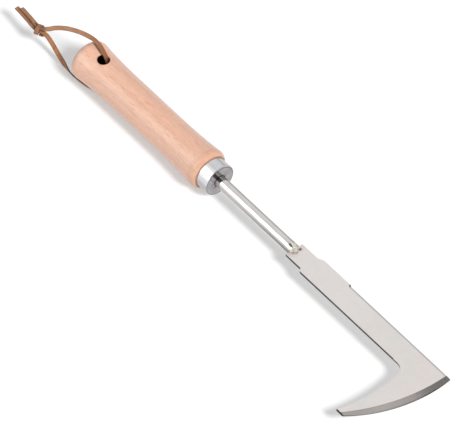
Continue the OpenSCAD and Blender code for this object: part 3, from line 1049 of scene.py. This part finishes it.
@dataclass
class WeldRun:
    """Lumpy weld metal over the end of the shank and onto the tang."""

    end: Vector = field(default_factory=Station.SHANK_END.point)
    shank_r: float = 0.004
    lump_r: float = 0.0016
    pitch: float = 0.0018
    inset: float = 0.00015
    stagger: float = 0.00015
    # Lumps that run down onto the tang, from the middle of the shank's end.
    run: tuple[tuple[float, float, float], ...] = (
        (-0.0032, 0.0012, 0.00285),
        (-0.0019, 0.0009, 0.0030),
        (-0.0006, 0.0006, 0.0031),
        (0.0007, 0.0002, 0.00248),
        (0.0018, -0.0002, 0.00144),
    )
    voxel: float = 0.00018
    softening: tuple[float, int] = (0.5, 3)
    ripple: float = 0.00018
    ripples: float = 900.0
    under_tang: float = 0.0005

    def build(self) -> None:
        """Melts the lumps into one bead, roughens it and keeps it within the tang's underside."""
        bead = self.lumps()
        melt = bead.modifiers.new("melt", "REMESH")
        melt.mode, melt.voxel_size = "VOXEL", self.voxel
        bpy.ops.object.modifier_apply(modifier=melt.name)
        soft = bead.modifiers.new("soften", "SMOOTH")
        soft.factor, soft.iterations = self.softening
        bpy.ops.object.modifier_apply(modifier=soft.name)
        lowest = self.end.z - self.under_tang
        for corner in bead.data.vertices:
            corner.co += corner.normal * (noise.noise(corner.co * self.ripples) * self.ripple)
            if corner.co.x > self.end.x and corner.co.z < lowest:
                corner.co.z = lowest
        bpy.ops.object.shade_smooth()
        dress(bead, WeldMetal("weld_metal").material())
        hand_over(bead, "weld_metal", "weld_bead")

    def lumps(self) -> Piece:
        """Sets a ring of balls round the shank's end and a run of them down onto the tang.

        Returns:
            The balls, joined as one object at the origin.
        """
        count = math.ceil(2 * math.pi * self.shank_r / self.pitch)
        ring_r = self.shank_r - self.inset - self.lump_r
        offsets = []
        for i in range(count):
            angle = 2 * math.pi * i / count
            across, up = -ring_r * math.sin(angle), ring_r * math.cos(angle)
            offsets.append((self.stagger * (i % 3), across, up))
        balls = []
        for offset in (*offsets, *self.run):
            bpy.ops.mesh.primitive_uv_sphere_add(
                segments=24, ring_count=14, radius=self.lump_r, location=self.end + Vector(offset)
            )
            balls.append(bpy.context.object)
        pick(*balls)
        bpy.ops.object.join()
        bead = bpy.context.object
        bead.name = "weld_run"
        pick(bead)
        bpy.ops.object.transform_apply(location=True, rotation=True, scale=True)
        return bead


def finish(node: str, surface: Finish) -> None:
    """Gives a solid that stands as it was packed its finish."""
    dress(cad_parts[node], surface.material())
    LOG.info("%s: %s", node, surface.name)


@dataclass
class TurnedHandle:
    """Beech handle, as its solid stands."""

    wood: Beech = Beech("turned_beech")

    def build(self) -> None:
        """Finishes the wood."""
        finish("handle", self.wood)


@dataclass
class Ferrule:
    """Plated ferrule, as its solid stands."""

    plating: BrightPlate = BrightPlate("bright_plate")

    def build(self) -> None:
        """Finishes the plating."""
        finish("ferrule", self.plating)


@dataclass
class Steelwork:
    """Shank and blade, as their solids stand."""

    bar: DrawnBar = DrawnBar("drawn_bar")
    plate: GroundPlate = GroundPlate("ground_plate")

    def build(self) -> None:
        """Finishes the bar and the ground plate."""
        finish("shank", self.bar)
        finish("blade", self.plate)


# ---------------- studio


@dataclass(frozen=True)
class Sector:
    """Directions between two angles about the tool's axis, in degrees, with soft limits."""

    low: float
    high: float
    soft: float

    def where(self, roll: Val) -> Val:
        """1 inside the sector and 0 outside it."""
        low, high, half = map(math.radians, (self.low, self.high, self.soft / 2))
        return roll.rise(low - half, low + half) * roll.rise(high + half, high - half)


@dataclass(frozen=True)
class Surround:
    """White studio: even for what is lit, with a soft box and darker parts for what shines."""

    even: float = 0.33
    fill: Sector = Sector(-98.0, -68.0, 12.0)
    fill_gain: float = 2.8
    # A soft box at the left; the seam over it and the wall at the right are a little darker.
    box: Sector = Sector(-69.0, -22.0, 8.0)
    box_gain: float = 2.6
    seam: Sector = Sector(-4.0, 10.0, 5.0)
    seam_dark: float = 0.16
    wall: Span = (math.radians(40.0), math.radians(85.0))
    wall_dark: float = 0.18
    # A black flag overhead, the dark room past the blade with its slit, and the horizon.
    to_flag: Span = (0.5, 0.866)
    flag_dark: float = 0.95
    room_dark: float = 0.88
    slit: Sector = Sector(14.0, 48.0, 8.0)
    slit_gain: float = 0.9
    horizon_dark: float = 0.28

    def world(self) -> bpy.types.World:
        """Builds the world.

        Returns:
            The new world.
        """
        made = bpy.data.worlds.new("studio")
        made.use_nodes = True
        made.node_tree.nodes.clear()
        bench = Bench(made.node_tree)
        way = bench.parts(bench.node("ShaderNodeTexCoord").outputs["Generated"])
        roll = way[1].bearing(way[2])
        camera, glossy = bench.rays("Camera", "Transmission"), bench.rays("Glossy")
        plain = 1.0 - camera.most(glossy)
        lit = self.fill.where(roll) * self.fill_gain + self.even
        strength = plain * lit + camera + glossy * self.shine(way, roll) * (1.0 - camera)
        light = bench.node("ShaderNodeBackground", None, {"Color": WHITE, "Strength": strength})
        bench.node("ShaderNodeOutputWorld", None, {"Surface": light.outputs[0]})
        return made

    def shine(self, way: Place, roll: Val) -> Val:
        """What a shining piece sees in a direction.

        Args:
            way: the direction, as x, y and z.
            roll: its angle about the tool's axis.

        Returns:
            The brightness.
        """
        x, y, z = way
        behind = x.rise(0.10, -0.10)
        box = self.box.where(roll) * behind
        seam = self.seam.where(roll) * x.rise(-0.30, -0.42)
        wall = roll.rise(*self.wall) * behind
        flag = (y * self.to_flag[0] + z * self.to_flag[1]).rise(0.972, 0.994)
        room = x.rise(0.05, 0.40) * z.rise(0.30, 0.60)
        horizon = abs(z).rise(0.30, 0.04) * y.rise(-0.2, 0.2)
        shine = (1.0 + box * self.box_gain) * (1.0 - flag * self.flag_dark)
        shine = shine * (1.0 - room * self.room_dark) * (1.0 - horizon * self.horizon_dark)
        shine = shine * (1.0 - seam * self.seam_dark) * (1.0 - wall * self.wall_dark)
        return shine + self.slit.where(roll) * room * self.slit_gain


@dataclass
class Studio:
    """White table, one soft key light from the right and a pale surround."""

    azimuth: float = 50.6
    elevation: float = 50.0
    distance: float = 12.0
    clip_end: float = 40.0
    width_seen: float = 0.2819
    sensor: float = 36.0
    target: Vector = field(default_factory=lambda: Vector((-0.0194, 0.0109, 0.014)))
    to_key: Vector = field(default_factory=lambda: Vector((1.006, 0.016, 1.0)))
    key_strength: float = 4.2
    key_angle: float = 15.5
    table_size: float = 12.0

    def camera(self) -> None:
        """Sets the camera at the photograph's angle."""
        a, e = math.radians(self.azimuth), math.radians(self.elevation)
        away = Vector((math.sin(a) * math.cos(e), -math.cos(a) * math.cos(e), math.sin(e)))
        data = bpy.data.cameras.new("camera")
        data.sensor_width = self.sensor
        data.lens = self.sensor * self.distance / self.width_seen
        data.clip_end = self.clip_end
        camera = bpy.data.objects.new("camera", data)
        bpy.context.scene.collection.objects.link(camera)
        camera.location = self.target + away * self.distance
        camera.rotation_euler = away.to_track_quat("Z", "Y").to_euler()
        bpy.context.scene.camera = camera
        bpy.context.view_layer.update()

    def key(self) -> None:
        """Hangs the key light, which bright metal doesn't mirror."""
        data = bpy.data.lights.new("key", "SUN")
        data.energy = self.key_strength
        data.angle = math.radians(self.key_angle)
        lamp = bpy.data.objects.new("key", data)
        bpy.context.scene.collection.objects.link(lamp)
        lamp.rotation_euler = self.to_key.to_track_quat("Z", "Y").to_euler()
        lamp.visible_glossy = False

    def table(self) -> None:
        """Lays the white table top."""
        bpy.ops.mesh.primitive_plane_add(size=self.table_size, location=(0.0, 0.0, 0.0))
        top = bpy.context.object
        top.name = "table_top"
        dress(top, TableWhite("table_white").material())

    def surroundings(self) -> None:
        """Puts the studio round the table and shows colours as they are."""
        bpy.context.scene.world = Surround().world()
        bpy.context.scene.view_settings.view_transform = "Standard"


def main() -> None:
    """Builds the scene, sub-assembly by sub-assembly."""
    logging.basicConfig(level=logging.INFO, format="%(name)s: %(message)s")
    studio = Studio()
    studio.camera()
    HangingLoop().build()
    TurnedHandle().build()
    Ferrule().build()
    Steelwork().build()
    WeldRun().build()
    studio.table()
    studio.key()
    studio.surroundings()


if __name__ == "__main__":
    main()
